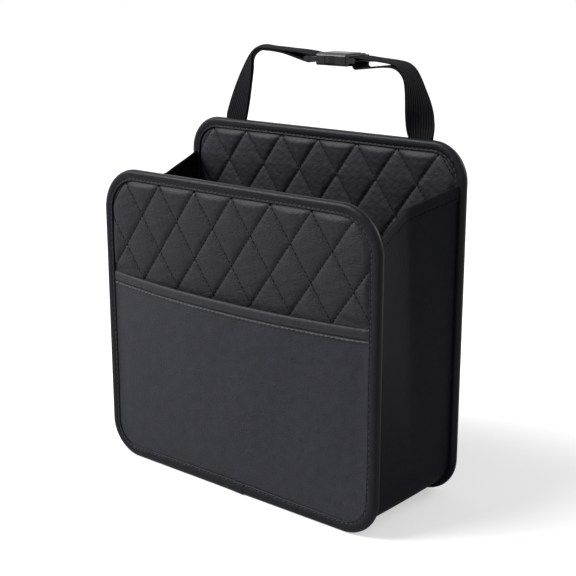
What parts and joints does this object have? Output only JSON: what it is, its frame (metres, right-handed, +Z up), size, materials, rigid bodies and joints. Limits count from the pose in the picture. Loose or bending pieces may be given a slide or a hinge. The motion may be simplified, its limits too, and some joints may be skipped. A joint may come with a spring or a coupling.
{
  "type": "car seat back organizer",
  "caption": "Soft leather car seat back organizer: open bag with quilted panels, front pocket, folding gusset and webbing hanging strap with a side release buckle.",
  "frame": {"origin": "middle of the overall box's footprint, at the height of the bound edges that it stands on", "axes": "+Z up, +X to the viewer's right, -Y out of the front pocket face"},
  "size_m": [0.28, 0.134, 0.3449],
  "materials": {
    "leather_binding": "grained satin",
    "leather_quilted": "grained satin, diamond quilted",
    "leather_pocket": "grained satin",
    "leather_gusset": "grained satin",
    "lining": "plain woven",
    "board": "matte sheet",
    "base_board": "fabric covered board",
    "webbing": "ribbed webbing",
    "buckle": "satin moulded"
  },
  "bodies": {
    "bag": {"front_binding": "leather_binding", "back_binding": "leather_binding", "gusset_hem_left": "leather_binding", "gusset_hem_right": "leather_binding", "front_quilt_panel": "leather_quilted", "back_quilt_panel": "leather_quilted", "front_pocket": "leather_pocket", "gusset_strip": "leather_gusset", "back_cover": "leather_gusset", "front_lining": "lining", "front_board": "board", "back_board": "board", "base_board": "base_board", "strap_left": "webbing", "strap_right": "webbing", "buckle_socket": "buckle"},
    "plug": {"buckle_plug": "buckle"},
    "arm_front": {"plug_arm_front": "buckle"},
    "arm_rear": {"plug_arm_rear": "buckle"}
  },
  "joints": [
    {"name": "plug_slide", "type": "slide", "parent": "bag", "child": "plug", "axis": [1, 0, 0], "range_m": [0, 0.0235], "deforming": ["strap_right"]},
    {"name": "arm_front_flex", "type": "hinge", "parent": "plug", "child": "arm_front", "pos_m": [0.0312, 0.04172, 0.335], "axis": [0, 0, -1], "range_deg": [0, 23.46]},
    {"name": "arm_rear_flex", "type": "hinge", "parent": "plug", "child": "arm_rear", "pos_m": [0.0312, 0.06448, 0.335], "axis": [0, 0, 1], "range_deg": [0, 23.46]}
  ],
  "couplings": [
    {"joint": "arm_front_flex", "follows": "plug_slide", "rad_per_m": 17.2},
    {"joint": "arm_rear_flex", "follows": "plug_slide", "rad_per_m": 17.2}
  ]
}
